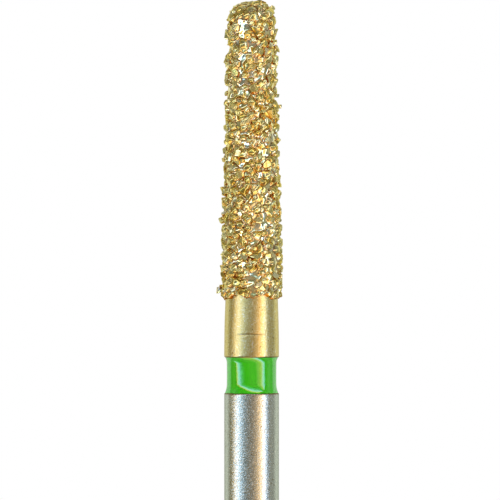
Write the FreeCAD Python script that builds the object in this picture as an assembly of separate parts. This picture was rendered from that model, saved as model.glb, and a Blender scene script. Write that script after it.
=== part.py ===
"""Tapered round-end diamond bur with a friction-grip shank.

Frame: the origin is the centre of the shank's flat end, and +Z runs up the bur's axis to the tip.
All lengths are in millimetres.
"""

import math
import os
import random

import FreeCAD
import Part

# Lengths along the axis, from the shank's flat end up to the tip
GRIP_LENGTH = 10.55  # plain shank, from the flat end to the groove
GROOVE_LENGTH = 1.05  # groove that holds the colour band
NECK_LENGTH = 1.70  # bare metal between the groove and the grit
HEAD_LENGTH = 8.70  # grit-covered working head

# Turned blank
SHANK_DIAMETER = 1.60  # friction-grip fitting size
END_CHAMFER_LENGTH = 0.30
END_CHAMFER_DEPTH = 0.18
GROOVE_DEPTH = 0.16
EDGE_BREAK = 0.015  # broken edge on each side of the groove
HEAD_CORE_DIAMETER = 1.535  # steel under the grit at the neck
HEAD_TAPER_DEGREES = 1.3  # half angle
CORE_TIP_RADIUS = 0.40  # round between the taper and the flat of the tip

# Colour band of lacquer
BAND_DEPTH = 0.077  # how far its waist lies below the shank's surface
BAND_HOLLOW = 0.006  # how much deeper its waist is than the ends of its fillets
BAND_UPPER_FILLET = 0.17
BAND_LOWER_FILLET = 0.25

# Grit coat
COAT_THICKNESS = 0.13  # from the steel to an average grain tip
BOND_THICKNESS = 0.055  # plated metal between the grains
GRAIN_PITCH = 0.19  # from one grain to the next, for coarse grit
HEIGHT_SPREAD = 0.30  # share by which grain tips stand higher or lower
PLACE_SPREAD = 0.28  # share of the point spacing by which points wander
NEIGHBOUR_REACH = 1.25  # point spacings within which two points are neighbours
COAT_EDGE_WANDER = 0.07  # how far the coat's ragged lower edge wanders up and down
TIP_RING_SIDES = 5  # points in the smallest ring of the coat, round the tip
WALL_SIDES = 48  # flats round the inner wall of the coat
WALL_STEPS = 6  # flats along the inner wall's round
GRIT_SEED = 11

# Grains that stand out of the head's outline: how far along the head, at what turn about the axis
# in degrees, and how much further out than an average grain
PROUD_GRAINS = [
    (0.26, 180, 0.145),
    (1.64, 0, 0.06),
    (2.31, 180, 0.135),
    (3.19, 180, 0.10),
    (4.07, 180, 0.075),
    (5.62, 0, 0.12),
    (6.99, 180, 0.09),
    (7.31, 0, 0.09),
    (8.44, 0, 0.09),
    (8.73, 0, 0.05),
]

SEWING_TOLERANCE = 0.0001


def shank_radius():
    return SHANK_DIAMETER / 2


def groove_bottom():
    return GRIP_LENGTH


def groove_top():
    return GRIP_LENGTH + GROOVE_LENGTH


def head_base():
    return groove_top() + NECK_LENGTH


def core_top():
    return head_base() + HEAD_LENGTH - COAT_THICKNESS


def point(radius, height):
    return FreeCAD.Vector(radius, 0, height)


def line(start, end):
    return Part.LineSegment(start, end).toShape()


def arc(start, middle, end):
    return Part.Arc(start, middle, end).toShape()


def bow(start, middle, end):
    """Shallow curve whose ends and middle are at those points."""
    curve = Part.BezierCurve()
    curve.setPoles([start, middle * 2 - (start + end) / 2, end])
    return curve.toShape()


def revolve(edges):
    """Closed profile in the XZ plane, turned about the axis into a solid."""
    face = Part.Face(Part.Wire(edges))
    return face.revolve(FreeCAD.Vector(0, 0, 0), FreeCAD.Vector(0, 0, 1), 360)


class HeadProfile:
    """Outline of the steel under the grit: a taper, a round and a small flat at the tip."""

    def __init__(self):
        self.slope = math.radians(HEAD_TAPER_DEGREES)
        self.base_radius = HEAD_CORE_DIAMETER / 2
        self.round_height = core_top() - CORE_TIP_RADIUS
        self.round_centre = (
            self.taper_radius(self.round_height) - CORE_TIP_RADIUS / math.cos(self.slope)
        )
        self.taper_length = (self.taper_end()[1] - head_base()) / math.cos(self.slope)
        self.round_sweep = math.pi / 2 - self.slope
        self.round_length = CORE_TIP_RADIUS * self.round_sweep
        self.length = self.taper_length + self.round_length + self.round_centre

    def taper_radius(self, height):
        return self.base_radius - (height - head_base()) * math.tan(self.slope)

    def on_round(self, angle):
        return (
            self.round_centre + CORE_TIP_RADIUS * math.cos(angle),
            self.round_height + CORE_TIP_RADIUS * math.sin(angle),
        )

    def taper_end(self):
        return self.on_round(self.slope)

    def at(self, along, height):
        """Radius and level of a point that far along the outline and that far outside it."""
        if along <= self.taper_length:
            radius = self.base_radius - along * math.sin(self.slope)
            level = head_base() + along * math.cos(self.slope)
            angle = self.slope
        elif along <= self.taper_length + self.round_length:
            angle = self.slope + (along - self.taper_length) / CORE_TIP_RADIUS
            radius, level = self.on_round(angle)
        else:
            angle = math.pi / 2
            radius = self.length - along
            level = core_top()
        return radius + height * math.cos(angle), level + height * math.sin(angle)

    def edges(self):
        """Taper, round and flat, from the neck to the axis."""
        start = point(self.base_radius, head_base())
        taper_end = point(*self.taper_end())
        middle = point(*self.on_round(self.slope + self.round_sweep / 2))
        round_end = point(self.round_centre, core_top())
        return [
            line(start, taper_end),
            arc(taper_end, middle, round_end),
            line(round_end, point(0, core_top())),
        ]


def neck_arc():
    """Neck outline: leaves the groove's edge straight up the axis and narrows towards the grit."""
    start = point(shank_radius(), groove_top() + EDGE_BREAK)
    end = point(HEAD_CORE_DIAMETER / 2, head_base())
    rise = end.z - start.z
    narrowing = start.x - end.x
    radius = (rise**2 + narrowing**2) / (2 * narrowing)
    half_angle = math.asin(rise / radius) / 2
    middle = point(
        start.x - radius * (1 - math.cos(half_angle)), start.z + radius * math.sin(half_angle)
    )
    return arc(start, middle, end)


def turned_blank(profile):
    """Shank with its chamfered end, the groove, the neck and the core of the head, turned from one rod."""
    outer = shank_radius()
    floor = outer - GROOVE_DEPTH
    corners = [
        point(0, 0),
        point(outer - END_CHAMFER_DEPTH, 0),
        point(outer, END_CHAMFER_LENGTH),
        point(outer, groove_bottom() - EDGE_BREAK),
        point(outer - EDGE_BREAK, groove_bottom()),
        point(floor, groove_bottom()),
        point(floor, groove_top()),
        point(outer - EDGE_BREAK, groove_top()),
        point(outer, groove_top() + EDGE_BREAK),
    ]
    edges = [line(a, b) for a, b in zip(corners, corners[1:])]
    edges.append(neck_arc())
    edges += profile.edges()
    edges.append(line(point(0, core_top()), corners[0]))
    return revolve(edges)


def meniscus(rim, waist, level, reach):
    """Hollow fillet of lacquer from the groove's rim down to the band's waist. Reach is signed."""
    start = point(rim, level)
    end = point(waist, level + reach)
    half_way = math.radians(45)
    middle = point(
        rim - (rim - waist) * math.sin(half_way), level + reach * (1 - math.cos(half_way))
    )
    return arc(start, middle, end)


def colour_band():
    """Ring of lacquer that fills the groove. It dried hollow, so its outside is all curves."""
    floor = shank_radius() - GROOVE_DEPTH
    rim = shank_radius() - EDGE_BREAK
    waist = shank_radius() - BAND_DEPTH
    shoulder = waist + BAND_HOLLOW
    lower_shoulder = groove_bottom() + BAND_LOWER_FILLET
    upper_shoulder = groove_top() - BAND_UPPER_FILLET
    middle = (lower_shoulder + upper_shoulder) / 2
    return revolve(
        [
            line(point(floor, groove_bottom()), point(rim, groove_bottom())),
            meniscus(rim, shoulder, groove_bottom(), BAND_LOWER_FILLET),
            bow(point(shoulder, lower_shoulder), point(waist, middle), point(shoulder, upper_shoulder)),
            meniscus(rim, shoulder, groove_top(), -BAND_UPPER_FILLET),
            line(point(rim, groove_top()), point(floor, groove_top())),
            line(point(floor, groove_top()), point(floor, groove_bottom())),
        ]
    )


class GritCoat:
    """Plated coat with its diamond grains: a faceted skin of grains over a wall that lies on the steel.

    The skin is rings of points from the neck to the tip. A point is either a grain's tip or a low
    point of the bond between grains. A ring is a list of pairs: the turn of a point about the axis
    and its place in the list of points.
    """

    def __init__(self, profile):
        self.profile = profile
        self.dice = random.Random(GRIT_SEED)
        self.spacing = GRAIN_PITCH / math.sqrt(3)
        self.points = []
        self.facets = []
        self.stands = {}  # how far along the head and at what turn each point of the skin stands

    def either_way(self, reach):
        return self.dice.uniform(-reach, reach)

    def place(self, along, turn, height):
        radius, level = self.profile.at(along, height)
        return FreeCAD.Vector(radius * math.cos(turn), radius * math.sin(turn), level)

    def add(self, turn, place):
        self.points.append(place)
        return turn, len(self.points) - 1

    def grain_ring(self, along, shift, tips_below):
        """Ring of the skin. A point is a tip where no earlier tip is its neighbour."""
        radius = self.profile.at(along, COAT_THICKNESS)[0]
        count = max(TIP_RING_SIDES, round(2 * math.pi * radius / self.spacing))
        wander = PLACE_SPREAD * self.spacing
        ring = []
        tips = []
        for k in range(count):
            turn = 2 * math.pi * (k + shift) / count + self.either_way(wander) / radius
            own_along = along + self.either_way(wander)
            foot = self.place(own_along, turn, 0)
            near = NEIGHBOUR_REACH * self.spacing
            is_tip = all((foot - tip).Length > near for tip in tips_below + tips)
            if is_tip:
                tips.append(foot)
            height = COAT_THICKNESS if is_tip else BOND_THICKNESS
            height *= 1 + self.either_way(HEIGHT_SPREAD)
            turn_and_number = self.add(turn, self.place(own_along, turn, height))
            ring.append(turn_and_number)
            self.stands[turn_and_number[1]] = own_along, turn
        return ring, tips

    def skin_rings(self):
        start = COAT_EDGE_WANDER
        step = self.spacing * math.sqrt(3) / 2
        count = math.floor((self.profile.length - start - self.spacing / 2) / step)
        rings = []
        tips = []
        for k in range(count):
            ring, tips = self.grain_ring(start + (k + 1) * step, (k % 2) / 2, tips)
            rings.append(ring)
        return rings

    def raise_proud_grains(self):
        """Raise the point of the skin that lies nearest to each grain that stands out."""
        for along, degrees, further in PROUD_GRAINS:
            spot = self.place(along, math.radians(degrees), COAT_THICKNESS)
            nearest = min(self.stands, key=lambda k: (self.points[k] - spot).Length)
            self.points[nearest] = self.place(*self.stands[nearest], COAT_THICKNESS + further)

    def ragged_edge(self, count):
        """Lower edge of the coat: the ring of its outer rim and the ring of that rim's foot on the steel."""
        rim = []
        foot = []
        for k in range(count):
            turn = 2 * math.pi * k / count
            along = self.either_way(COAT_EDGE_WANDER)
            clear = self.profile.base_radius * (1 / math.cos(math.pi / count) - 1)
            rim.append(self.add(turn, self.place(along, turn, clear + BOND_THICKNESS / 2)))
            foot.append(self.add(turn, self.place(along, turn, clear)))
        return rim, foot

    def wall_ring(self, along, height):
        """Ring of the inner wall, wide enough for the flats between its points to clear the steel."""
        radius, level = self.profile.at(along, height)
        reach = radius / math.cos(math.pi / WALL_SIDES)
        ring = []
        for k in range(WALL_SIDES):
            turn = 2 * math.pi * k / WALL_SIDES
            ring.append(
                self.add(turn, FreeCAD.Vector(reach * math.cos(turn), reach * math.sin(turn), level))
            )
        return ring

    def wall_rings(self):
        """Inner wall from the neck to the tip: the taper in one step, then flats that touch the round."""
        half_step = self.profile.round_sweep / WALL_STEPS / 2
        lift = CORE_TIP_RADIUS * (1 / math.cos(half_step) - 1)
        rings = [self.wall_ring(2 * COAT_EDGE_WANDER, 0)]
        for k in range(WALL_STEPS):
            share = (k + 0.5) / WALL_STEPS
            along = self.profile.taper_length + share * self.profile.round_length
            rings.append(self.wall_ring(along, lift))
        return rings

    def stitch(self, lower, upper):
        """Band of triangles between two rings, which may differ in number of points."""
        a = b = 0
        while a < len(lower) or b < len(upper):
            low, high = lower[a % len(lower)], upper[b % len(upper)]
            next_low, next_high = lower[(a + 1) % len(lower)], upper[(b + 1) % len(upper)]
            step_low = b >= len(upper) or (
                a < len(lower) and (a + 1) / len(lower) <= (b + 1) / len(upper)
            )
            if step_low:
                self.facets.append((low[1], next_low[1], high[1]))
                a += 1
            else:
                self.facets.append((low[1], next_high[1], high[1]))
                b += 1

    def close(self, ring, level):
        """Fan of triangles from the last ring to a point on the axis."""
        centre = self.add(0, FreeCAD.Vector(0, 0, level))[1]
        for (_, a), (_, b) in zip(ring, ring[1:] + ring[:1]):
            self.facets.append((a, b, centre))

    def turn_inside_out(self, first):
        """Reverse the facets from that one on, so that they face the steel."""
        self.facets[first:] = [(a, c, b) for a, b, c in self.facets[first:]]

    def solid(self):
        skin = self.skin_rings()
        self.raise_proud_grains()
        rim, foot = self.ragged_edge(len(skin[0]))
        for lower, upper in zip([rim] + skin, skin):
            self.stitch(lower, upper)
        self.close(skin[-1], core_top() + COAT_THICKNESS)
        first_of_wall = len(self.facets)
        wall = self.wall_rings()
        for lower, upper in zip([rim, foot] + wall, [foot] + wall):
            self.stitch(lower, upper)
        self.close(wall[-1], core_top())
        self.turn_inside_out(first_of_wall)
        coat = Part.Shape()
        coat.makeShapeFromMesh((self.points, self.facets), SEWING_TOLERANCE)
        return Part.Solid(coat.Shells[0])


def export(shape, name):
    shape.exportStep(os.path.join("parts", name + ".step"))


def main():
    os.makedirs("parts", exist_ok=True)
    profile = HeadProfile()
    export(turned_blank(profile), "turned_blank")
    export(colour_band(), "colour_band")
    export(GritCoat(profile).solid(), "diamond_coat")


main()
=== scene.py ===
import math
import random

import bmesh
import bpy
from mathutils import Euler, Matrix, Vector, kdtree, noise


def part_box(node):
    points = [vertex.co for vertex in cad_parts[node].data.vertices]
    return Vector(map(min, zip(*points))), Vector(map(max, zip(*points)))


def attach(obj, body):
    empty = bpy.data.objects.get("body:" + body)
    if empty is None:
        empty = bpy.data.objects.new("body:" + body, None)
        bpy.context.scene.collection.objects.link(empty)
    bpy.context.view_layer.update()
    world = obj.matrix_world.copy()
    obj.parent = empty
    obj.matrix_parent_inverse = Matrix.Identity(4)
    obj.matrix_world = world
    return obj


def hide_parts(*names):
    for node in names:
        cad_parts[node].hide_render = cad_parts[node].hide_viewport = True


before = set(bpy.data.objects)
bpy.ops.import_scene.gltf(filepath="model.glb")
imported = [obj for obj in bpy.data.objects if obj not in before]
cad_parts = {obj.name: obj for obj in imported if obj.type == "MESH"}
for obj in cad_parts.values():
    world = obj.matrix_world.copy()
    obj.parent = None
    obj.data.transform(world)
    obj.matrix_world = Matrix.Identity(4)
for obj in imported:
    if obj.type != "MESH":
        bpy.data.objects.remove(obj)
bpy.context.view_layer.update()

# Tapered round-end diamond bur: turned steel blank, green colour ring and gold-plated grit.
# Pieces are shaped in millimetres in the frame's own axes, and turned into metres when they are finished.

MM = 0.001


def node_box(node):
    """Lowest and highest corner of a node of the frame, in millimetres."""
    low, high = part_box(node)
    return low / MM, high / MM


blank_high = node_box("turned_blank")[1]
ring_low, ring_high = node_box("colour_band")

# Blank
SHANK_RADIUS = blank_high.x
GROOVE_BOTTOM = ring_low.z
GROOVE_TOP = ring_high.z
GROOVE_DEPTH = 0.16
END_CHAMFER_LENGTH = 0.30
END_CHAMFER_DEPTH = 0.18
EDGE_BREAK = 0.028
NECK_LENGTH = 1.70
HEAD_BASE = GROOVE_TOP + NECK_LENGTH
CORE_TOP = blank_high.z
CORE_BASE_RADIUS = 0.7675
HEAD_TAPER = math.radians(1.3)
CORE_TIP_RADIUS = 0.40
CORE_SHOWN = 0.25
CORE_INSET = 0.01
SHANK_START = END_CHAMFER_LENGTH + 0.1
TURNED_STEPS = 160
ARC_STEPS = 4
TOLERANCE = 0.001

# Worn edges: three points of an arc, each as so far out and so far up from the corner
CHAMFER_END_EDGE = [(-0.02, 0), (-0.002, 0.008), (0.008, 0.028)]
CHAMFER_TOP_EDGE = [(-0.012, -0.02), (-0.0035, 0), (0, 0.03)]
RIM_EDGE = [(-EDGE_BREAK, 0), (-0.3 * EDGE_BREAK, 0.3 * EDGE_BREAK), (0, EDGE_BREAK)]

# Marks on the neck: a shallow tool line in front, and a slight wave
NECK_ROWS = 84
LINE_LEVEL = 12.275
LINE_WIDTH = 0.018
LINE_DEPTH = 0.005
LINE_STAIN = 0.8
LINE_SLANT = 0.02
LINE_FRONT = 0.8
LINE_FADE = 0.2 / 1.5
# How far from the lacquer the painted shade on the metal reaches, in worn edges
RIM_SHADE_REACH = 1.5
NECK_WAVE = 0.004
NECK_WAVE_SIZE = 0.8

# Colour ring
RING_WAIST = SHANK_RADIUS - 0.077
RING_HOLLOW = 0.006
RING_UPPER_FILLET = 0.17
RING_UPPER_CURVE = 2.2
RING_LOWER_FILLET = 0.26
RING_LOWER_CURVE = 1.9
RING_RIM = 0.6 * EDGE_BREAK
RING_ROWS = 60
RING_GAP = 0.004

# Skin of plating: smooth bond between the grains, and a lump with flat sides over each grain
BOND_HEIGHT = 0.050
BOND_TIP_HEIGHT = 0.040
SKIN_TUCK = 0.03
SKIN_ROW = 0.023
SKIN_STEPS = 222
RIPPLE_SIZE = 0.20
RIPPLE = 0.036
FINE_RIPPLE_SIZE = 0.08
FINE_RIPPLE = 0.007
LUMP_SPACING = 0.235
LUMP_SIZE = 0.22
SIZE_SPREAD = 0.24
LUMP_HEIGHT = (0.055, 0.115)
LUMP_TIP_SHARE = 0.8
LUMP_SIDES = (4, 6)
LUMP_SIDE_SWING = 0.25
LUMP_SIDE_SPREAD = (0.85, 1.25)
ROOF_FACETS = 3
NEAR_LUMPS = 4
LUMP_STEEPNESS = 2.0
LUMP_ROOF_SLOPE = 0.45
# Width over which painted shade darkens the crease where a lump rises from the bond or meets another lump
CREASE_SHADE_WIDTH = 0.034
BARE_SHARE = 0.13
BARE_TIP_SHARE = 0.04
BARE_SWING = 0.30
BARE_PATCH = 0.7

# Grains that stand free of their lump, and chips
COAT_THICKNESS = 0.13
MOST_PROUD = 0.19
MOST_PROUD_AT_TIP = 0.135
GRAIN_SHARE = 0.35
FREE_FROM = 0.30
GRAIN_TO_LUMP = 0.9
GRAIN_DEPTH = 0.085
GRAIN_LEAN = 20
CHIP_SPACING = 0.60
CHIP_SIZE = 0.10
CHIP_DEPTH = 0.11
DEPTH_SPREAD = (0.7, 1.3)
GRAIN_JITTER = 0.42
SIZE_LIMIT = 1.5
GRIT_SEED = 5

# Crystals: how many different ones, how many corners are broken off, and how skewed they are
GRAIN_CRYSTALS = (24, (4, 6), 0.3)
CHIP_CRYSTALS = (16, (3, 4), 0.35)
CRYSTAL_BLOCK = 0.9
CRYSTAL_BREAK = (0.5, 0.85)
CRYSTAL_BREAK_LEAN = (0.3, 1)
CRYSTAL_SMALLEST_EDGE = 0.08
CRYSTAL_EDGE = 0.06
CRYSTAL_STRETCH = (0.75, 1.25)
CRYSTAL_TINT_SHARE = 0.35

# Ragged lower edge of the coat: its rise, its waves and two arches over the neck in front. Each wave has its
# turns about the axis, its place in the noise and its share.
EDGE_REACH = 0.5
# Band along the lower edge of the coat that gets painted shade
RIM_SHADE_WIDTH = 0.05
EDGE_RISE = 0.035
EDGE_MARGIN = 0.4
EDGE_WANDER = 0.10
EDGE_WAVES = [(2.2, 3.0, 0.9), (7.0, 9.0, 0.8)]
EDGE_ARCH = 0.10
EDGE_ARCHES = (math.radians(-117), math.radians(-67))
EDGE_ARCH_REACH = math.radians(12)

# Grains that stand out of the head's outline: how far along the head, at what turn about the axis
# in degrees, how much further out than an average grain, and how large
PROUD_GRAINS = [
    (0.26, 180, 0.140, 0.16),
    (1.64, 0, 0.060, 0.20),
    (2.31, 180, 0.130, 0.24),
    (3.19, 180, 0.100, 0.20),
    (4.07, 180, 0.075, 0.18),
    (5.62, 0, 0.115, 0.15),
    (6.99, 180, 0.090, 0.20),
    (7.31, 0, 0.090, 0.22),
    (7.72, 180, 0.080, 0.22),
    (8.44, 0, 0.090, 0.18),
    (8.73, 0, 0.050, 0.18),
]


class HeadOutline:
    """Outline of the steel under the grit: a taper, a round and a small flat at the tip."""

    def __init__(self):
        self.round_level = CORE_TOP - CORE_TIP_RADIUS
        drop = (self.round_level - HEAD_BASE) * math.tan(HEAD_TAPER)
        self.round_centre = CORE_BASE_RADIUS - drop - CORE_TIP_RADIUS / math.cos(HEAD_TAPER)
        taper_top = self.round_level + CORE_TIP_RADIUS * math.sin(HEAD_TAPER)
        self.taper_length = (taper_top - HEAD_BASE) / math.cos(HEAD_TAPER)
        self.round_length = CORE_TIP_RADIUS * (math.pi / 2 - HEAD_TAPER)
        self.length = self.taper_length + self.round_length + self.round_centre

    def at(self, along, height=0.0):
        """Radius, level and tilt of a point that far along the outline and that far outside it."""
        if along <= self.taper_length:
            tilt = HEAD_TAPER
            radius = CORE_BASE_RADIUS - along * math.sin(tilt)
            level = HEAD_BASE + along * math.cos(tilt)
        elif along <= self.taper_length + self.round_length:
            tilt = HEAD_TAPER + (along - self.taper_length) / CORE_TIP_RADIUS
            radius = self.round_centre + CORE_TIP_RADIUS * math.cos(tilt)
            level = self.round_level + CORE_TIP_RADIUS * math.sin(tilt)
        else:
            tilt = math.pi / 2
            radius = max(0.0, self.length - along)
            level = CORE_TOP
        return radius + height * math.cos(tilt), level + height * math.sin(tilt), tilt

    def stand(self, along, turn, height):
        """Place and outward direction of a point on the head."""
        radius, level, tilt = self.at(along, height)
        place = Vector((radius * math.cos(turn), radius * math.sin(turn), level))
        outward = Vector((math.cos(tilt) * math.cos(turn), math.cos(tilt) * math.sin(turn), math.sin(tilt)))
        return place, outward

    def outside(self, place):
        """How far a point lies outside the steel."""
        radius = math.hypot(place.x, place.y)
        if place.z < self.round_level:
            own_radius = CORE_BASE_RADIUS - (place.z - HEAD_BASE) * math.tan(HEAD_TAPER)
            return (radius - own_radius) * math.cos(HEAD_TAPER)
        if radius > self.round_centre:
            return math.hypot(radius - self.round_centre, place.z - self.round_level) - CORE_TIP_RADIUS
        return place.z - CORE_TOP

    def towards_tip(self, along, at_base, at_tip):
        """A value that holds along the taper and changes over the round of the tip."""
        share = (along - self.taper_length) / self.round_length + 0.5
        return at_base + (at_tip - at_base) * max(0.0, min(1.0, share))


head = HeadOutline()

# Spots without grains, and how far they reach: the notch under the dome on the left
BARE_SPOTS = [(head.stand(7.46, math.pi, 0)[0], 0.19)]


# Shapes

def finished(bm, name, smooth_under=None):
    """Mesh object in metres from a shape in millimetres. Edges sharper than that many degrees stay sharp."""
    bmesh.ops.scale(bm, vec=(MM, MM, MM), verts=bm.verts)
    mesh = bpy.data.meshes.new(name)
    bm.to_mesh(mesh)
    bm.free()
    if smooth_under is not None:
        mesh.shade_smooth()
        mesh.set_sharp_from_angle(angle=math.radians(smooth_under))
    piece = bpy.data.objects.new(name, mesh)
    bpy.context.scene.collection.objects.link(piece)
    return piece


def turned(outline, steps, closed=False):
    """Outline of (radius, level) points, spun about the axis."""
    bm = bmesh.new()
    verts = [bm.verts.new((radius, 0, level)) for radius, level in outline]
    pairs = list(zip(verts, verts[1:]))
    if closed:
        pairs.append((verts[-1], verts[0]))
    edges = [bm.edges.new(pair) for pair in pairs]
    bmesh.ops.spin(
        bm, geom=verts + edges, cent=(0, 0, 0), axis=(0, 0, 1), dvec=(0, 0, 0),
        angle=2 * math.pi, steps=steps, use_merge=True, use_normal_flip=False, use_duplicate=False,
    )
    bmesh.ops.remove_doubles(bm, verts=bm.verts, dist=1e-5)
    bmesh.ops.recalc_face_normals(bm, faces=bm.faces)
    return bm


def arc_points(start, middle, end, steps):
    """Points on the circle through three (radius, level) points, without the first."""
    (ax, ay), (bx, by), (cx, cy) = start, middle, end
    d = 2 * (ax * (by - cy) + bx * (cy - ay) + cx * (ay - by))
    ux = ((ax**2 + ay**2) * (by - cy) + (bx**2 + by**2) * (cy - ay) + (cx**2 + cy**2) * (ay - by)) / d
    uy = ((ax**2 + ay**2) * (cx - bx) + (bx**2 + by**2) * (ax - cx) + (cx**2 + cy**2) * (bx - ax)) / d
    reach = math.hypot(ax - ux, ay - uy)
    first = math.atan2(ay - uy, ax - ux)
    last = math.atan2(cy - uy, cx - ux)
    sweep = (last - first + math.pi) % (2 * math.pi) - math.pi
    return [
        (ux + reach * math.cos(first + sweep * k / steps), uy + reach * math.sin(first + sweep * k / steps))
        for k in range(1, steps + 1)
    ]


def worn_edge(corner, points):
    """Rounded edge at a corner of an outline, through three points given from that corner."""
    radius, level = corner
    start, middle, end = [(radius + out, level + up) for out, up in points]
    return [start] + arc_points(start, middle, end, ARC_STEPS)


def tool_line(place):
    """Share of the tool line's depth at a place: full on the line in front, and nothing away from it."""
    from_line = (place.z - LINE_LEVEL - LINE_SLANT * place.x) / LINE_WIDTH
    in_front = max(0.0, min(1.0, (-place.y / SHANK_RADIUS - LINE_FRONT) / LINE_FADE))
    return math.exp(-from_line**2) * in_front


def rim_shade(place):
    """Painted shade on the metal along the lacquer's rims."""
    past_rim = max(GROOVE_BOTTOM - place.z, place.z - GROOVE_TOP)
    return max(0.0, min(1.0, RIM_SHADE_REACH - past_rim / EDGE_BREAK))


def make_blank():
    """Steel blank: chamfered end, shank, groove, neck and the start of the core, turned from one rod."""
    floor = SHANK_RADIUS - GROOVE_DEPTH
    outline = [(0, 0)]
    outline += worn_edge((SHANK_RADIUS - END_CHAMFER_DEPTH, 0), CHAMFER_END_EDGE)
    outline += worn_edge((SHANK_RADIUS, END_CHAMFER_LENGTH), CHAMFER_TOP_EDGE)
    outline += [(SHANK_RADIUS, SHANK_START), (SHANK_RADIUS, GROOVE_BOTTOM - 2 * EDGE_BREAK)]
    outline += worn_edge((SHANK_RADIUS, GROOVE_BOTTOM), [(out, -up) for out, up in reversed(RIM_EDGE)])
    outline += [(floor, GROOVE_BOTTOM), (floor, GROOVE_TOP)]
    outline += worn_edge((SHANK_RADIUS, GROOVE_TOP), RIM_EDGE)
    neck_rise = NECK_LENGTH - EDGE_BREAK
    narrowing = SHANK_RADIUS - CORE_BASE_RADIUS
    for k in range(1, NECK_ROWS + 1):
        share = k / NECK_ROWS
        outline.append((SHANK_RADIUS - narrowing * share**2, GROOVE_TOP + EDGE_BREAK + neck_rise * share))
    outline += [(CORE_BASE_RADIUS - CORE_INSET, HEAD_BASE + CORE_SHOWN), (0, HEAD_BASE + CORE_SHOWN)]
    bm = turned(outline, TURNED_STEPS)
    stain_and_shade = bm.verts.layers.float.new("stain_and_shade")
    for vert in bm.verts:
        # Painted shade next to the lacquer; on the neck, the tool line's stain instead
        vert[stain_and_shade] = rim_shade(vert.co)
        if GROOVE_TOP + 2 * EDGE_BREAK < vert.co.z < HEAD_BASE:
            vert[stain_and_shade] = LINE_STAIN * tool_line(vert.co)
            rise = NECK_WAVE * noise.noise(vert.co / NECK_WAVE_SIZE) - LINE_DEPTH * tool_line(vert.co)
            vert.co += rise * Vector((vert.co.x, vert.co.y, 0)).normalized()
    for face in bm.faces:
        face.material_index = 1 if face.calc_center_median().z > GROOVE_TOP - TOLERANCE else 0
    return finished(bm, "bur_blank", smooth_under=35)


def ring_radius(level):
    """Outer radius of the lacquer: a slight hollow, and a fillet that runs out to each rim."""
    middle = (GROOVE_BOTTOM + GROOVE_TOP) / 2
    hollow = RING_HOLLOW * (2 * (level - middle) / (GROOVE_TOP - GROOVE_BOTTOM)) ** 2
    rise = SHANK_RADIUS - RING_RIM - RING_WAIST - RING_HOLLOW
    upper = max(0.0, 1 - (GROOVE_TOP - level) / RING_UPPER_FILLET) ** RING_UPPER_CURVE
    lower = max(0.0, 1 - (level - GROOVE_BOTTOM) / RING_LOWER_FILLET) ** RING_LOWER_CURVE
    return RING_WAIST + hollow + rise * (upper + lower)


def make_ring():
    """Lacquer ring in the groove."""
    inner = SHANK_RADIUS - GROOVE_DEPTH
    low, high = GROOVE_BOTTOM + RING_GAP, GROOVE_TOP - RING_GAP
    levels = [low + (high - low) * k / RING_ROWS for k in range(RING_ROWS + 1)]
    outline = [(inner, low)] + [(ring_radius(level), level) for level in levels] + [(inner, high)]
    bm = turned(outline, TURNED_STEPS, closed=True)
    return finished(bm, "colour_ring", smooth_under=50)


def edge_along(turn):
    """How far along the head the ragged lower edge of the coat lies at a turn about the axis."""
    arch = sum(EDGE_ARCH * math.exp(-((turn - middle) / EDGE_ARCH_REACH)**2) for middle in EDGE_ARCHES)
    wander = sum(
        share * noise.noise(Vector((turns * math.cos(turn), turns * math.sin(turn), place)))
        for turns, place, share in EDGE_WAVES
    )
    return EDGE_RISE + arch + EDGE_WANDER * wander


class Lump:
    """A plated grain under the skin: a block with flat sides and a roof of three facets."""

    def __init__(self, dice, along, turn, size):
        self.middle, outward = head.stand(along, turn, BOND_HEIGHT)
        around = Vector((-math.sin(turn), math.cos(turn), 0))
        upwards = outward.cross(around)
        self.height = dice.uniform(*LUMP_HEIGHT) * math.sqrt(size / LUMP_SIZE)
        self.height *= head.towards_tip(along, 1, LUMP_TIP_SHARE)

        def slope(angle, steepness):
            return (around * math.cos(angle) + upwards * math.sin(angle)) * steepness * 2 / size

        count = dice.randint(*LUMP_SIDES)
        first = dice.uniform(0, 2 * math.pi)
        self.sides = [
            slope(
                first + 2 * math.pi * (k + dice.uniform(-LUMP_SIDE_SWING, LUMP_SIDE_SWING)) / count,
                dice.uniform(*LUMP_SIDE_SPREAD),
            )
            for k in range(count)
        ]
        self.roof = [
            slope(dice.uniform(0, 2 * math.pi), LUMP_ROOF_SLOPE * dice.random()) for _ in range(ROOF_FACETS)
        ]

    def height_at(self, point):
        """Height over the bond at a point, less than nothing beside the lump."""
        away = point - self.middle
        side = LUMP_STEEPNESS * (1 - max(side.dot(away) for side in self.sides))
        return self.height * min(side, 1 + min(facet.dot(away) for facet in self.roof))


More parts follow.
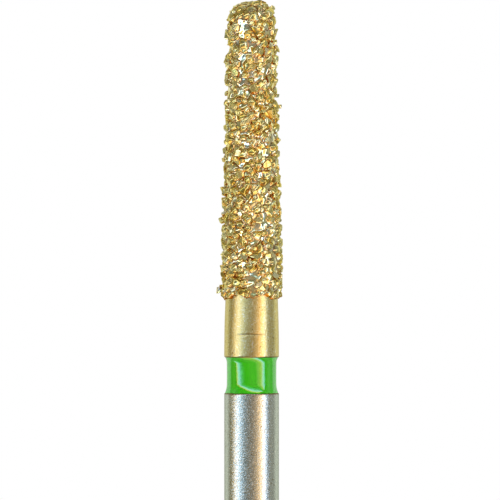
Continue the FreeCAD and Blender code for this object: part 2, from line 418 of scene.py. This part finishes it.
def make_bond(grains):
    """Skin of plating over the core: bond with a lump over each grain, and a ragged lower edge."""
    rows = round(head.length / SKIN_ROW)
    outline = [(CORE_BASE_RADIUS - SKIN_TUCK, HEAD_BASE), head.at(0)[:2]]
    for k in range(rows):
        along = head.length * k / rows
        outline.append(head.at(along, head.towards_tip(along, BOND_HEIGHT, BOND_TIP_HEIGHT))[:2])
    outline.append((0, CORE_TOP + BOND_TIP_HEIGHT))
    bm = turned(outline, SKIN_STEPS)
    dice = random.Random(GRIT_SEED + 3)
    lumps = [Lump(dice, *grain) for grain in grains]
    places = kdtree.KDTree(len(lumps))
    for number, lump in enumerate(lumps):
        places.insert(lump.middle, number)
    places.balance()
    crease_shade = bm.verts.layers.float.new("crease_shade")
    raised = bm.verts.layers.float.new("raised")
    bm.normal_update()
    for vert in bm.verts:
        above = vert.co.z - HEAD_BASE
        if above < EDGE_REACH:
            vert.co.z += edge_along(math.atan2(vert.co.y, vert.co.x)) * (1 - above / EDGE_REACH)
        # Painted shade: the lowest row, the creases at the feet of the lumps, and a band along the lower
        # edge
        if above < SKIN_ROW / 2:
            vert[crease_shade] = 1
        else:
            near = places.find_n(vert.co, NEAR_LUMPS)
            heights = sorted([lumps[number].height_at(vert.co) for _, number, _ in near] + [0.0])
            step = heights[-1] - heights[-2]
            vert[crease_shade] = max(0.0, 1 - step / CREASE_SHADE_WIDTH, 1 - above / RIM_SHADE_WIDTH)
            vert[raised] = heights[-1] / LUMP_HEIGHT[1]
            ripple = RIPPLE * noise.noise(vert.co / RIPPLE_SIZE)
            ripple += FINE_RIPPLE * noise.noise(vert.co / FINE_RIPPLE_SIZE)
            vert.co += vert.normal * (heights[-1] + ripple)
    return finished(bm, "coat_bond", smooth_under=180)


def crystal(dice, breaks, most_skew):
    """Diamond fragment about one unit across: a skewed block with broken corners and worn edges."""
    bm = bmesh.new()
    bmesh.ops.create_cube(bm, size=CRYSTAL_BLOCK)
    skew = Matrix([[dice.uniform(-most_skew, most_skew) for _ in range(3)] for _ in range(3)])
    skew += Matrix.Identity(3)
    bmesh.ops.transform(bm, matrix=skew.to_4x4(), verts=bm.verts)
    for _ in range(breaks):
        side = Vector([dice.choice((-1, 1)) * dice.uniform(*CRYSTAL_BREAK_LEAN) for _ in range(3)])
        side.normalize()
        reach = max(vert.co.dot(side) for vert in bm.verts)
        made = bmesh.ops.bisect_plane(
            bm, geom=bm.verts[:] + bm.edges[:] + bm.faces[:], dist=1e-4,
            plane_co=side * reach * dice.uniform(*CRYSTAL_BREAK), plane_no=side, clear_outer=True,
        )
        rim = [part for part in made["geom_cut"] if isinstance(part, bmesh.types.BMEdge)]
        bmesh.ops.holes_fill(bm, edges=rim)
    bmesh.ops.remove_doubles(bm, verts=bm.verts, dist=CRYSTAL_SMALLEST_EDGE)
    bmesh.ops.bevel(
        bm, geom=bm.edges[:], offset=CRYSTAL_EDGE, affect="EDGES", segments=1, profile=0.5, material=-1,
        clamp_overlap=True,
    )
    bmesh.ops.recalc_face_normals(bm, faces=bm.faces)
    bm.faces.layers.float.new("tint")
    return bm


def crystals_to_choose(dice, count, breaks, most_skew):
    """So many different crystals, each with a number of broken corners between two."""
    return [crystal(dice, dice.randint(*breaks), most_skew) for _ in range(count)]


def grain_stand(dice, along, turn, height, size, lean):
    """Matrix that sets a crystal on the head, and the direction outwards there."""
    place, outward = head.stand(along, turn, height)
    upright = outward.to_track_quat("Z", "Y").to_matrix().to_4x4()
    tilt = Euler([math.radians(dice.gauss(0, lean)) for _ in range(2)] + [0]).to_matrix().to_4x4()
    spin = Matrix.Rotation(dice.uniform(0, 2 * math.pi), 4, "Z")
    stretch = Matrix.Diagonal([size * dice.uniform(*CRYSTAL_STRETCH) for _ in range(3)] + [1])
    return Matrix.Translation(place) @ upright @ tilt @ spin @ stretch, outward


def add_grain(heap, dice, crystals, stand, furthest, always=False):
    """Add a crystal to a heap, set in so that it stands out no further than that, or always just as far."""
    matrix, outward = stand
    grain = dice.choice(crystals).copy()
    tint = dice.random()
    layer = grain.faces.layers.float["tint"]
    for face in grain.faces:
        face[layer] = CRYSTAL_TINT_SHARE * tint + (1 - CRYSTAL_TINT_SHARE) * dice.random()
    bmesh.ops.transform(grain, matrix=matrix, verts=grain.verts)
    excess = max(head.outside(vert.co) for vert in grain.verts) - furthest
    if excess > 0 or always:
        bmesh.ops.translate(grain, vec=-excess * outward, verts=grain.verts)
    scratch = bpy.data.meshes.new("scratch")
    grain.to_mesh(scratch)
    grain.free()
    heap.from_mesh(scratch)
    bpy.data.meshes.remove(scratch)


def spread_out(dice, spacing, size):
    """Places all over the head, in jittered rows with bare spots: along, turn and size of each grain."""
    row = spacing * math.sqrt(3) / 2
    grains = []
    for k in range(math.ceil(head.length / row)):
        radius = head.at((k + 0.5) * row, size / 2)[0]
        count = max(1, round(2 * math.pi * radius / spacing))
        for j in range(count):
            along = (k + 0.5) * row + dice.uniform(-GRAIN_JITTER, GRAIN_JITTER) * row
            turn = 2 * math.pi * (j + (k % 2) / 2) / count
            turn += dice.uniform(-GRAIN_JITTER, GRAIN_JITTER) * spacing / max(radius, spacing)
            turn = (turn + math.pi) % (2 * math.pi) - math.pi
            own_size = size * math.exp(SIZE_SPREAD * max(-SIZE_LIMIT, min(SIZE_LIMIT, dice.gauss(0, 1))))
            place = head.stand(along, turn, 0)[0]
            patch = BARE_SWING * noise.noise(place / BARE_PATCH)
            bare = any((place - spot).length < reach for spot, reach in BARE_SPOTS)
            if not bare and dice.random() > head.towards_tip(along, BARE_SHARE + patch, BARE_TIP_SHARE):
                grains.append((max(along, edge_along(turn) + own_size * EDGE_MARGIN), turn, own_size))
    return grains


def scatter(heap, dice, crystals, grains, share, depth):
    """Crystals at the places of grains, at a share of their sizes."""
    for along, turn, size in grains:
        height = depth * dice.uniform(*DEPTH_SPREAD)
        furthest = head.towards_tip(along, MOST_PROUD, MOST_PROUD_AT_TIP)
        stand = grain_stand(dice, along, turn, height, share * size, GRAIN_LEAN)
        add_grain(heap, dice, crystals, stand, furthest)


def make_grains(grains):
    """Grains that stand free of their lumps, and the ones that stand out of the head's outline."""
    dice = random.Random(GRIT_SEED)
    crystals = crystals_to_choose(dice, *GRAIN_CRYSTALS)
    heap = bmesh.new()
    heap.faces.layers.float.new("tint")
    free = [grain for grain in grains if dice.random() < GRAIN_SHARE and grain[0] > FREE_FROM]
    scatter(heap, dice, crystals, free, GRAIN_TO_LUMP, GRAIN_DEPTH)
    for along, degrees, further, size in PROUD_GRAINS:
        stand = grain_stand(dice, along, math.radians(degrees), COAT_THICKNESS, size, GRAIN_LEAN / 2)
        add_grain(heap, dice, crystals, stand, COAT_THICKNESS + further, always=True)
    return finished(heap, "diamond_grains")


def make_chips():
    """Small chips between the grains."""
    dice = random.Random(GRIT_SEED + 1)
    crystals = crystals_to_choose(dice, *CHIP_CRYSTALS)
    heap = bmesh.new()
    heap.faces.layers.float.new("tint")
    scatter(heap, dice, crystals, spread_out(dice, CHIP_SPACING, CHIP_SIZE), 1, CHIP_DEPTH)
    return finished(heap, "diamond_chips")


# Finishes

# Blasted metal: tints are the stops of a colour ramp over a fine speckle, each a place and a colour.
# A dull span is the roughness from the smoothest place to the dullest.
STEEL_TINTS = [(0.56, (0.65, 0.68, 0.59)), (0.72, (0.80, 0.83, 0.74))]
STEEL_EDGE = (0.6, 0.6, 0.58, 1)
STEEL_DULL = (0.22, 0.53)
GOLD_TINTS = [
    (0.42, (0.76, 0.61, 0.23)),
    (0.50, (0.81, 0.68, 0.28)),
    (0.57, (0.84, 0.72, 0.31)),
    (0.66, (0.95, 0.87, 0.54)),
]
GOLD_EDGE = (0.82, 0.76, 0.62, 1)
GOLD_DULL = (0.28, 0.43)
SPECKLE_SIZE = 0.036
SPECKLE_DEPTH = 0.006
DULL_SPECKS = (0.5, 0.72)

# Painted shade along the lacquer, a stain in the tool line, and dots of dust and dirt
STAIN_AND_SHADE = (0.30, 0.19, 0.07, 1)
PALE_DOT = (0.97, 0.95, 0.82, 1)
DOT_SIZE = 0.06
DARK_DOTS = (0.24, 0.31)
PALE_DOTS = (0.64, 0.72)
PALE_DOT_STRENGTH = 0.8

# Green lacquer: tints over a soft cloud, and a slight wave
LACQUER_TINTS = [(0.3, (0.045, 0.72, 0.0)), (0.7, (0.06, 0.76, 0.0))]
LACQUER_CLOUD = 0.25
LACQUER_WAVE = 0.3
LACQUER_WAVE_DEPTH = 0.006
LACQUER_DULL = 0.06
LACQUER_IOR = 2.0

# Plating over the grit: bond, lumps and the creases between them, with painted brown shade in the creases
# and where grains hide the plating from the light.
# A ripple is its size and its depth.
BOND_TINTS = [(0.35, (0.94, 0.80, 0.34)), (0.5, (0.96, 0.88, 0.48)), (0.65, (0.97, 0.95, 0.72))]
LUMP_TINTS = [(0.35, (0.63, 0.46, 0.09)), (0.5, (0.79, 0.69, 0.26)), (0.65, (0.95, 0.92, 0.60))]
# Brown painted shade in the creases and along the lower edge, and the range of the crease mask over which it
# fades in
CREASE_PAINTED_SHADE = (0.42, 0.15, 0.02, 1)
CREASE_SHADE_RANGE = (0.1, 0.9)
RAISED_RANGE = (0.08, 0.35)
PLATING_CLOUD = 0.25
PLATING_EDGE = (0.94, 0.76, 0.36, 1)
SKIN_DULL = (0.10, 0.23)
SKIN_METAL = 0.9
SKIN_RIPPLE = (0.07, 0.003)
# Painted shade from ambient occlusion: the range over which the skin turns brown, how far the occlusion
# looks, and the brown
SKIN_PAINTED_SHADE = (0.25, 0.75)
PAINTED_SHADE_REACH = 0.08
PAINTED_CREVICE_SHADE = (0.62, 0.29, 0.04, 1)

# Free-standing crystals: a tint for each facet
GRAIN_TINTS = [
    (0.0, (0.62, 0.47, 0.10)),
    (0.25, (0.79, 0.67, 0.22)),
    (0.6, (0.89, 0.80, 0.35)),
    (0.90, (0.95, 0.91, 0.58)),
    (0.97, (0.75, 0.90, 1.0)),
]
GRAIN_DULL = (0.12, 0.34)
GRAIN_DULL_PATCH = 0.12
GRAIN_DULL_RANGE = (0.35, 0.65)
GRAIN_METAL = 0.85
GRAIN_RIPPLE = (0.09, 0.008)
# Range of ambient occlusion over which the crystals take painted brown shade
GRAIN_PAINTED_SHADE = (0.40, 0.85)


class Finish:
    """A material being made: its nodes, its links and its main shader."""

    def __init__(self, name):
        self.material = bpy.data.materials.new(name)
        self.material.use_nodes = True
        self.tree = self.material.node_tree
        self.shader = self.tree.nodes["Principled BSDF"]

    def add(self, kind, **settings):
        node = self.tree.nodes.new(kind)
        for key, value in settings.items():
            setattr(node, key, value)
        return node

    def feed(self, node, **sockets):
        """Set or link inputs by name; underscores stand for spaces."""
        for key, value in sockets.items():
            socket = node.inputs[key.replace("_", " ")]
            if isinstance(value, bpy.types.NodeSocket):
                self.tree.links.new(value, socket)
            else:
                socket.default_value = value

    def attribute(self, name):
        return self.add("ShaderNodeAttribute", attribute_name=name).outputs["Fac"]

    def place(self):
        return self.add("ShaderNodeTexCoord").outputs["Object"]

    def noise(self, size, detail=2.0, roughness=0.5):
        """Noise with features about that many millimetres across."""
        node = self.add("ShaderNodeTexNoise")
        self.feed(node, Vector=self.place(), Scale=1 / (size * MM), Detail=detail, Roughness=roughness)
        return node.outputs["Fac"]

    def ramp(self, factor, stops):
        """Colour ramp of (position, colour) stops."""
        node = self.add("ShaderNodeValToRGB")
        self.feed(node, Fac=factor)
        points = node.color_ramp.elements
        while len(points) < len(stops):
            points.new(0.5)
        for point, (position, colour) in zip(points, stops):
            point.position = position
            point.color = colour if len(colour) == 4 else (*colour, 1)
        return node.outputs["Color"]

    def span(self, factor, low, high, start=0.0, end=1.0):
        """A factor from start to end, mapped to a number from low to high."""
        node = self.add("ShaderNodeMapRange")
        self.feed(node, Value=factor, From_Min=start, From_Max=end, To_Min=low, To_Max=high)
        return node.outputs["Result"]

    def blend(self, factor, first, second):
        """Colour between two, each a colour or a link."""
        node = self.add("ShaderNodeMix", data_type="RGBA")
        first_socket, second_socket = node.inputs[6:8]
        for socket, value in ((node.inputs[0], factor), (first_socket, first), (second_socket, second)):
            if isinstance(value, bpy.types.NodeSocket):
                self.tree.links.new(value, socket)
            else:
                socket.default_value = value
        return node.outputs[2]

    def bump(self, height, depth):
        """Bump with a depth in millimetres."""
        node = self.add("ShaderNodeBump")
        self.feed(node, Height=height, Distance=depth * MM, Strength=1.0)
        return node.outputs["Normal"]


def blasted(name, tints, edge_tint, dull):
    """Fine blasted metal: shiny, with dull specks, a few pale and dark dots, a stain in the tool line and
    painted shade along the lacquer.
    """
    finish = Finish(name)
    speckle = finish.noise(SPECKLE_SIZE, detail=2, roughness=0.6)
    dots = finish.noise(DOT_SIZE, detail=1)
    colour = finish.blend(finish.span(dots, 1.0, 0.0, *DARK_DOTS), finish.ramp(speckle, tints), STAIN_AND_SHADE)
    colour = finish.blend(finish.span(dots, 0.0, PALE_DOT_STRENGTH, *PALE_DOTS), colour, PALE_DOT)
    # Painted shade along the lacquer and the tool line's stain
    colour = finish.blend(finish.attribute("stain_and_shade"), colour, STAIN_AND_SHADE)
    finish.feed(
        finish.shader, Base_Color=colour, Metallic=1.0, Roughness=finish.span(speckle, *dull, *DULL_SPECKS),
        Specular_Tint=edge_tint, Normal=finish.bump(speckle, SPECKLE_DEPTH),
    )
    return finish.material


def lacquer_finish():
    """Glossy green lacquer with a slight wave."""
    finish = Finish("green_lacquer")
    wave = finish.noise(LACQUER_WAVE)
    colour = finish.ramp(finish.noise(LACQUER_CLOUD, detail=3), LACQUER_TINTS)
    finish.feed(
        finish.shader, Base_Color=colour, Roughness=LACQUER_DULL, IOR=LACQUER_IOR,
        Normal=finish.bump(wave, LACQUER_WAVE_DEPTH),
    )
    return finish.material


def plate(finish, colour, roughness, metal, ripple, shade_range):
    """Make a finish rippled gold plating, with painted brown shade where grains hide it from the light."""
    # Ambient occlusion paints brown shade into the hollows among the grains
    occlusion = finish.add("ShaderNodeAmbientOcclusion", samples=4)
    finish.feed(occlusion, Distance=PAINTED_SHADE_REACH * MM)
    open_to_light = finish.span(occlusion.outputs["AO"], 0.0, 1.0, *shade_range)
    ripple_size, ripple_depth = ripple
    finish.feed(
        finish.shader, Base_Color=finish.blend(open_to_light, PAINTED_CREVICE_SHADE, colour), Metallic=metal,
        Roughness=roughness, Specular_Tint=PLATING_EDGE,
        Normal=finish.bump(finish.noise(ripple_size, detail=1), ripple_depth),
    )
    return finish.material


def skin_finish():
    """Plating over the grit: bright bond, duller lumps, and painted brown shade in the creases where they
    meet and along the lower edge.
    """
    finish = Finish("plated_skin")
    cloud = finish.noise(PLATING_CLOUD)
    raised = finish.span(finish.attribute("raised"), 0.0, 1.0, *RAISED_RANGE)
    crease_shade = finish.span(finish.attribute("crease_shade"), 0.0, 1.0, *CREASE_SHADE_RANGE)
    colour = finish.blend(raised, finish.ramp(cloud, BOND_TINTS), finish.ramp(cloud, LUMP_TINTS))
    # Painted brown shade in the creases
    colour = finish.blend(crease_shade, colour, CREASE_PAINTED_SHADE)
    return plate(finish, colour, finish.span(raised, *SKIN_DULL), SKIN_METAL, SKIN_RIPPLE, SKIN_PAINTED_SHADE)


def crystal_finish(name):
    """Plating on free-standing crystals."""
    finish = Finish(name)
    colour = finish.ramp(finish.attribute("tint"), GRAIN_TINTS)
    dull = finish.span(finish.noise(GRAIN_DULL_PATCH, detail=1), *GRAIN_DULL, *GRAIN_DULL_RANGE)
    return plate(finish, colour, dull, GRAIN_METAL, GRAIN_RIPPLE, GRAIN_PAINTED_SHADE)


# Pieces

grains_at = spread_out(random.Random(GRIT_SEED + 2), LUMP_SPACING, LUMP_SIZE)

blank = make_blank()
blank.data.materials.append(blasted("blasted_steel", STEEL_TINTS, STEEL_EDGE, STEEL_DULL))
blank.data.materials.append(blasted("gold_plated_neck", GOLD_TINTS, GOLD_EDGE, GOLD_DULL))
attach(blank, "root")
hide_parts("turned_blank")

ring = make_ring()
ring.data.materials.append(lacquer_finish())
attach(ring, "root")
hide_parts("colour_band")

bond = make_bond(grains_at)
bond.data.materials.append(skin_finish())
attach(bond, "root")

grains = make_grains(grains_at)
grains.data.materials.append(crystal_finish("plated_grains"))
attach(grains, "root")
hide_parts("diamond_coat")

chips = make_chips()
chips.data.materials.append(crystal_finish("plated_chips"))
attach(chips, "root")


# Studio

FLOOR_RADIUS = 140 * MM
FLOOR_WHITE_FROM = 40 * MM
FLOOR_WHITE_TO = 110 * MM
FLOOR_GLOW = 0.45
FLOOR_DROP = 0.01 * MM
FLOOR_TINT = (0.9, 0.9, 0.9, 1)
WHITE = (1, 1, 1, 1)
FRONT = (0.132, 0.134, 0.108)
SIDE = (0.26, 0.27, 0.25)
SIDE_GLOW = (0.42, 0.42, 0.38)
BACK = (0.84, 0.89, 0.82)
FAR_BACK = (0.72, 0.75, 0.66)
LEFT_TINT = (0.80, 0.68, 0.40)
PLAIN = (1.0, 1.0, 1.0)
BAR_RADIANCE = 3.5
BAR_REACH = 3.0
BAR_START = 0.2
BAR_END = 0.6
BAR_FADE = 3.0
BAR_LEAST_WIDTH = 0.01
CAMERA_PLACE = Vector((-0.047, -142.1, 14.73)) * MM

# Walls of the studio from front to back, and their tint from left to right: places are sines of angles seen
# from the bur.
WALLS = [
    (-1.0, FRONT), (-0.4, FRONT), (-0.2, SIDE), (-0.03, SIDE_GLOW), (0.04, SIDE_GLOW),
    (0.2, SIDE), (0.36, SIDE), (0.48, BACK), (0.75, BACK), (1.0, FAR_BACK),
]
WALL_TINTS = [(-1.0, LEFT_TINT), (-0.97, LEFT_TINT), (-0.92, PLAIN), (1.0, PLAIN)]

# A bar of light: the way its plane faces, the way to its middle, its half width as the sine of an angle seen
# from the bur, and its colours from left to right, placed in half widths from its middle.
LEFT_BAR = (
    Vector((0.24, -0.503, -0.83)), Vector((-0.356, -0.92, 0.163)), 0.123,
    [
        (-1.0, (0, 0, 0)), (-0.85, (0.07, 0.03, 0.00)), (-0.6, (0.62, 0.28, 0.05)),
        (-0.3, (0.92, 0.68, 0.36)), (0.2, (0.74, 0.86, 1.15)), (0.7, (0.48, 0.70, 1.12)),
        (1.1, (0.21, 0.36, 0.52)), (1.8, (0.05, 0.09, 0.13)), (2.6, (0, 0, 0)),
    ],
)
RIGHT_BAR = (
    Vector((0.583, 0.763, -0.277)), Vector((0.519, -0.356, -0.776)), 0.202,
    [
        (-3.0, (0.05, 0.03, 0.02)), (-2.1, (0.26, 0.17, 0.10)), (-1.4, (0.38, 0.24, 0.13)),
        (-0.95, (0.50, 0.28, 0.10)), (-0.5, (0.76, 0.52, 0.27)), (0.1, (0.80, 0.80, 0.98)),
        (0.7, (0.50, 0.72, 1.15)), (0.95, (0.10, 0.22, 0.36)), (1.15, (0, 0, 0)),
    ],
)


class StageNodes:
    """Node tree of the world or of the floor, with short ways to add and link its nodes."""

    def __init__(self, tree):
        self.tree = tree

    def node(self, kind, *inputs, **settings):
        node = self.tree.nodes.new(kind)
        for key, value in settings.items():
            setattr(node, key, value)
        for socket, value in zip(node.inputs, inputs):
            if isinstance(value, bpy.types.NodeSocket):
                self.tree.links.new(value, socket)
            elif value is not None:
                socket.default_value = value
        return node

    def math(self, operation, *inputs):
        return self.node("ShaderNodeMath", *inputs, operation=operation).outputs[0]

    def dot(self, vector, other):
        return self.node("ShaderNodeVectorMath", vector, other, operation="DOT_PRODUCT").outputs["Value"]

    def span(self, value, start, end, low=0.0, high=1.0):
        return self.node("ShaderNodeMapRange", value, start, end, low, high).outputs[0]

    def ramp(self, factor, stops):
        node = self.node("ShaderNodeValToRGB", factor)
        points = node.color_ramp.elements
        while len(points) < len(stops):
            points.new(0.5)
        for point, (position, colour) in zip(points, stops):
            point.position = position
            point.color = (*colour, 1)
        return node.outputs["Color"]


def make_floor():
    """Pale floor that keeps the bur's shadow and turns white further out. The metal doesn't mirror it."""
    bm = bmesh.new()
    bmesh.ops.create_circle(bm, cap_ends=True, segments=96, radius=FLOOR_RADIUS / MM)
    floor = finished(bm, "studio_floor")
    floor.location.z = -FLOOR_DROP
    material = bpy.data.materials.new("pale_floor")
    material.use_nodes = True
    material.node_tree.nodes.clear()
    stage = StageNodes(material.node_tree)
    where = stage.node("ShaderNodeTexCoord").outputs["Object"]
    distance = stage.node("ShaderNodeVectorMath", where, operation="LENGTH").outputs["Value"]
    far = stage.span(distance, FLOOR_WHITE_FROM, FLOOR_WHITE_TO)
    seen = stage.node("ShaderNodeLightPath").outputs["Is Camera Ray"]
    whiteness = stage.math("MAXIMUM", far, stage.math("MULTIPLY", seen, FLOOR_GLOW))
    paper = stage.node("ShaderNodeBsdfDiffuse", FLOOR_TINT)
    white = stage.node("ShaderNodeEmission", WHITE, 1.0)
    plain = stage.node("ShaderNodeMixShader", whiteness, paper.outputs[0], white.outputs[0])
    stage.node("ShaderNodeOutputMaterial", plain.outputs[0])
    floor.visible_glossy = False
    floor.data.materials.append(material)


def bar_of_light(stage, where, bar):
    """Straight bar of light far off: a band across the sky whose ends taper off."""
    faces, middle, half_width, colours = bar
    along = stage.span(stage.dot(where, tuple(middle)), BAR_START, BAR_END)
    width = stage.math("MULTIPLY", along, half_width * 2 * BAR_REACH)
    width = stage.math("MAXIMUM", width, BAR_LEAST_WIDTH)
    across = stage.math("DIVIDE", stage.dot(where, tuple(faces)), width)
    stops = [(0.5 + place / (2 * BAR_REACH), colour) for place, colour in colours]
    profile = stage.ramp(stage.math("ADD", across, 0.5), stops)
    fade = stage.math("MINIMUM", stage.math("MULTIPLY", along, BAR_FADE), 1.0)
    strength = stage.math("MULTIPLY", fade, BAR_RADIANCE)
    return stage.node("ShaderNodeBackground", profile, strength).outputs[0]


def ramp_stops(colours):
    """Colours placed from -1 to 1 as the stops of a ramp."""
    return [((1 + place) / 2, colour) for place, colour in colours]


def make_world():
    """Studio: dim in front of the bur and pale behind it, with two long slanting bars of light."""
    world = bpy.data.worlds.new("studio")
    bpy.context.scene.world = world
    world.use_nodes = True
    world.node_tree.nodes.clear()
    stage = StageNodes(world.node_tree)
    where = stage.node("ShaderNodeTexCoord").outputs["Generated"]
    way = stage.node("ShaderNodeSeparateXYZ", where).outputs
    walls = stage.ramp(stage.span(way["Y"], -1, 1), ramp_stops(WALLS))
    tint = stage.ramp(stage.span(way["X"], -1, 1), ramp_stops(WALL_TINTS))
    tinted = stage.node("ShaderNodeVectorMath", walls, tint, operation="MULTIPLY").outputs[0]
    room = stage.node("ShaderNodeBackground", tinted, 1.0).outputs[0]
    for bar in (LEFT_BAR, RIGHT_BAR):
        room = stage.node("ShaderNodeAddShader", room, bar_of_light(stage, where, bar)).outputs[0]
    white = stage.node("ShaderNodeBackground", WHITE, 1.0)
    rays = stage.node("ShaderNodeLightPath")
    seen = stage.node("ShaderNodeMixShader", rays.outputs["Is Camera Ray"], room, white.outputs[0])
    stage.node("ShaderNodeOutputWorld", seen.outputs[0])


def make_camera():
    """Long lens in front of the bur, level with the picture's middle."""
    data = bpy.data.cameras.new("camera")
    data.lens = 350
    data.sensor_width = 36
    data.clip_start = 0.001
    data.clip_end = 10
    camera = bpy.data.objects.new("camera", data)
    camera.location = CAMERA_PLACE
    camera.rotation_euler = (math.radians(90), 0, 0)
    bpy.context.scene.collection.objects.link(camera)
    bpy.context.scene.camera = camera


make_floor()
make_world()
make_camera()
bpy.context.scene.view_settings.view_transform = "Standard"
